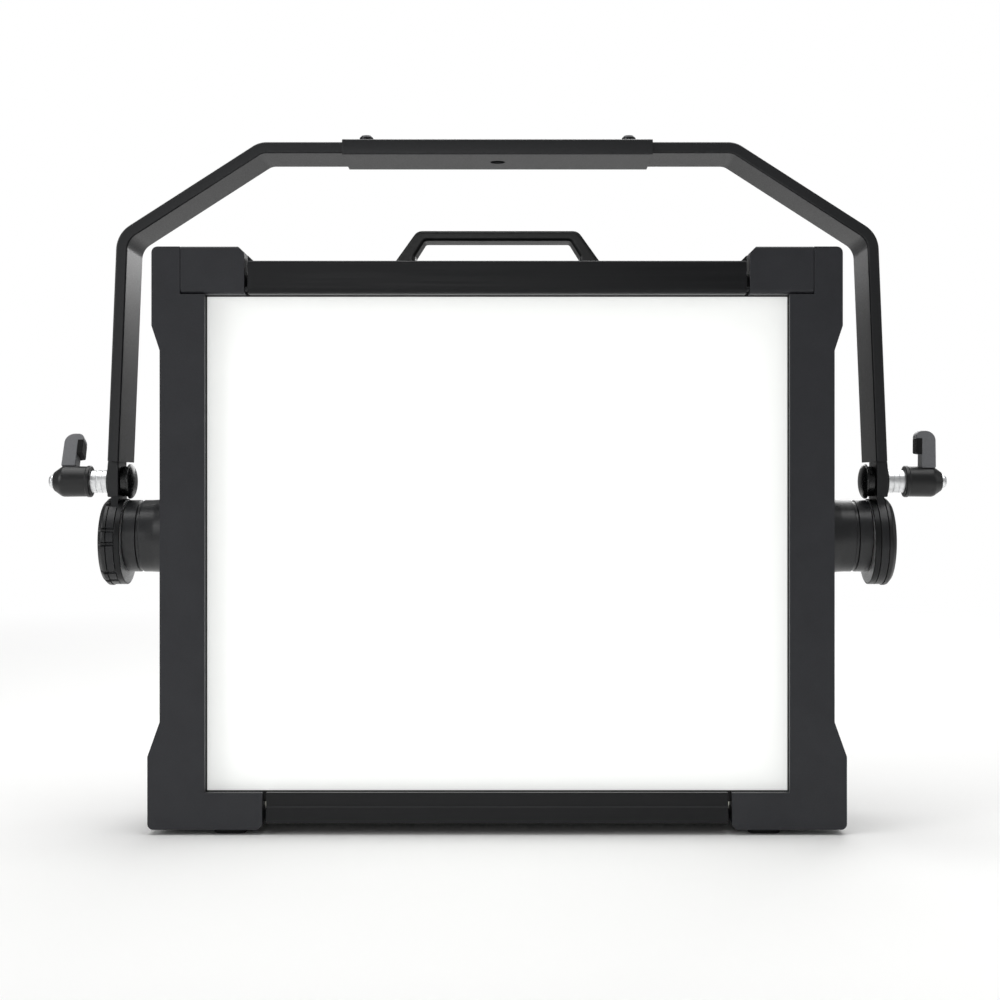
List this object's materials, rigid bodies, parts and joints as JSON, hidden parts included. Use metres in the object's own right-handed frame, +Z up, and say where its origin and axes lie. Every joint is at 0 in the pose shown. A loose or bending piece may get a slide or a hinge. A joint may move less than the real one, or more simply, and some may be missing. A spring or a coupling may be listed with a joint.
{
  "type": "led panel light",
  "caption": "Soft rectangular LED panel light with corner-lobed frame, top gate and handle, hung in a bent yoke with disc-brake tilt clamps.",
  "frame": {"origin": "on the floor under the middle of the light, where its feet stand", "axes": "+X to the right seen from the front, +Y to the back, so the light shines towards -Y; +Z up"},
  "size_m": [0.6416, 0.112, 0.4893],
  "materials": {
    "moulding": "fine moulded texture, charcoal",
    "rail": "black anodised, satin",
    "housing": "black powder coat",
    "yoke": "black powder coat, satin",
    "diffuser": "opal acrylic, satin",
    "reflector": "white matt",
    "led_board": "white solder mask",
    "heat_sink": "extruded, bare",
    "rubber": "black, matt",
    "plastic": "black, fine texture",
    "clamp_pad": "black gloss enamel over steel",
    "steel": "turned, bright",
    "brake_disc": "turned face",
    "lever_grey": "grey enamel on die casting",
    "circuit_board": "green solder mask",
    "window": "dark display window"
  },
  "bodies": {
    "panel": {"left_side_moulding": "moulding", "right_side_moulding": "moulding", "bottom_rail": "rail", "diffuser": "diffuser", "foot_front_left": "rubber", "foot_front_right": "rubber", "foot_rear_left": "rubber", "foot_rear_right": "rubber", "gate_hinge_rod": "steel", "housing_body": "housing", "rear_cover": "housing", "reflector_box": "reflector", "led_board": "led_board", "heat_sink": "heat_sink", "fan_frame": "plastic", "power_supply": "heat_sink", "driver_board": "circuit_board", "control_panel": "plastic", "display_window": "window", "power_inlet": "plastic", "data_socket_in": "plastic", "data_socket_out": "plastic", "handle": "plastic", "left_pivot_boss": "housing", "right_pivot_boss": "housing", "left_brake_disc": "brake_disc", "right_brake_disc": "brake_disc", "left_pivot_bolt": "steel", "right_pivot_bolt": "steel"},
    "gate": {"gate_rail": "rail", "gate_left_block": "moulding", "gate_right_block": "moulding"},
    "fan": {"fan_rotor": "plastic"},
    "dimmer_spindle": {"dimmer_shaft": "steel"},
    "dimmer_dial": {"dimmer_knob": "plastic"},
    "colour_spindle": {"colour_shaft": "steel"},
    "colour_dial": {"colour_knob": "plastic"},
    "button_1": {"push_button_1": "rubber"},
    "button_2": {"push_button_2": "rubber"},
    "button_3": {"push_button_3": "rubber"},
    "button_4": {"push_button_4": "rubber"},
    "power_rocker": {"power_switch": "plastic"},
    "friction_knob": {"left_friction_knob": "plastic"},
    "yoke": {"left_yoke_arm": "yoke", "right_yoke_arm": "yoke", "yoke_sleeve": "yoke", "left_sleeve_screw": "yoke", "right_sleeve_screw": "yoke", "right_hub_cap": "plastic"},
    "left_stud": {"left_clamp_stud": "clamp_pad"},
    "left_lever_core": {"left_lever_insert": "steel", "left_lever_end_screw": "steel"},
    "left_lever": {"left_lever_hub": "plastic", "left_lever_blade": "lever_grey"},
    "right_stud": {"right_clamp_stud": "clamp_pad"},
    "right_lever_core": {"right_lever_insert": "steel", "right_lever_end_screw": "steel"},
    "right_lever": {"right_lever_hub": "plastic", "right_lever_blade": "lever_grey"}
  },
  "joints": [
    {"name": "bail_tilt", "type": "hinge", "parent": "panel", "child": "yoke", "pos_m": [0, 0, 0.199], "axis": [1, 0, 0], "continuous": true},
    {"name": "friction_knob_turn", "type": "hinge", "parent": "panel", "child": "friction_knob", "pos_m": [-0.277, 0, 0.199], "axis": [-1, 0, 0], "range_deg": [0, 270]},
    {"name": "gate_open", "type": "hinge", "parent": "panel", "child": "gate", "pos_m": [0, -0.0525, 0.3733], "axis": [1, 0, 0], "range_deg": [0, 90]},
    {"name": "fan_spin", "type": "hinge", "parent": "panel", "child": "fan", "pos_m": [0, 0.0235, 0.25], "axis": [0, 1, 0], "continuous": true},
    {"name": "left_lever_turn", "type": "hinge", "parent": "yoke", "child": "left_lever_core", "pos_m": [-0.29, 0, 0.2419], "axis": [-1, 0, 0], "range_deg": [0, 120]},
    {"name": "left_lever_pull", "type": "slide", "parent": "left_lever_core", "child": "left_lever", "axis": [-1, 0, 0], "range_m": [0, 0.0036], "stiffness_N_per_m": 1200, "springref_m": -0.002},
    {"name": "left_stud_travel", "type": "slide", "parent": "yoke", "child": "left_stud", "axis": [1, 0, 0], "range_m": [0, 0.0006]},
    {"name": "right_lever_turn", "type": "hinge", "parent": "yoke", "child": "right_lever_core", "pos_m": [0.29, 0, 0.2419], "axis": [1, 0, 0], "range_deg": [0, 120]},
    {"name": "right_lever_pull", "type": "slide", "parent": "right_lever_core", "child": "right_lever", "axis": [1, 0, 0], "range_m": [0, 0.0036], "stiffness_N_per_m": 1200, "springref_m": -0.002},
    {"name": "right_stud_travel", "type": "slide", "parent": "yoke", "child": "right_stud", "axis": [-1, 0, 0], "range_m": [0, 0.0006]},
    {"name": "rotary_dimmer_turn", "type": "hinge", "parent": "panel", "child": "dimmer_spindle", "pos_m": [-0.052, 0.047, 0.088], "axis": [0, 1, 0], "continuous": true},
    {"name": "rotary_dimmer_push", "type": "slide", "parent": "dimmer_spindle", "child": "dimmer_dial", "axis": [0, -1, 0], "range_m": [0, 0.0008], "stiffness_N_per_m": 900, "springref_m": -0.001},
    {"name": "rotary_colour_turn", "type": "hinge", "parent": "panel", "child": "colour_spindle", "pos_m": [-0.094, 0.047, 0.088], "axis": [0, 1, 0], "continuous": true},
    {"name": "rotary_colour_push", "type": "slide", "parent": "colour_spindle", "child": "colour_dial", "axis": [0, -1, 0], "range_m": [0, 0.0008], "stiffness_N_per_m": 900, "springref_m": -0.001},
    {"name": "push_button_1_press", "type": "slide", "parent": "panel", "child": "button_1", "axis": [0, -1, 0], "range_m": [0, 0.001], "stiffness_N_per_m": 700, "springref_m": -0.001},
    {"name": "push_button_2_press", "type": "slide", "parent": "panel", "child": "button_2", "axis": [0, -1, 0], "range_m": [0, 0.001], "stiffness_N_per_m": 700, "springref_m": -0.001},
    {"name": "push_button_3_press", "type": "slide", "parent": "panel", "child": "button_3", "axis": [0, -1, 0], "range_m": [0, 0.001], "stiffness_N_per_m": 700, "springref_m": -0.001},
    {"name": "push_button_4_press", "type": "slide", "parent": "panel", "child": "button_4", "axis": [0, -1, 0], "range_m": [0, 0.001], "stiffness_N_per_m": 700, "springref_m": -0.001},
    {"name": "power_rocker_tip", "type": "hinge", "parent": "panel", "child": "power_rocker", "pos_m": [-0.15, 0.046, 0.052], "axis": [1, 0, 0], "range_deg": [0, 9]}
  ],
  "couplings": [
    {"joint": "left_stud_travel", "follows": "left_lever_turn", "m_per_rad": 0.0002387},
    {"joint": "right_stud_travel", "follows": "right_lever_turn", "m_per_rad": 0.0002387}
  ]
}
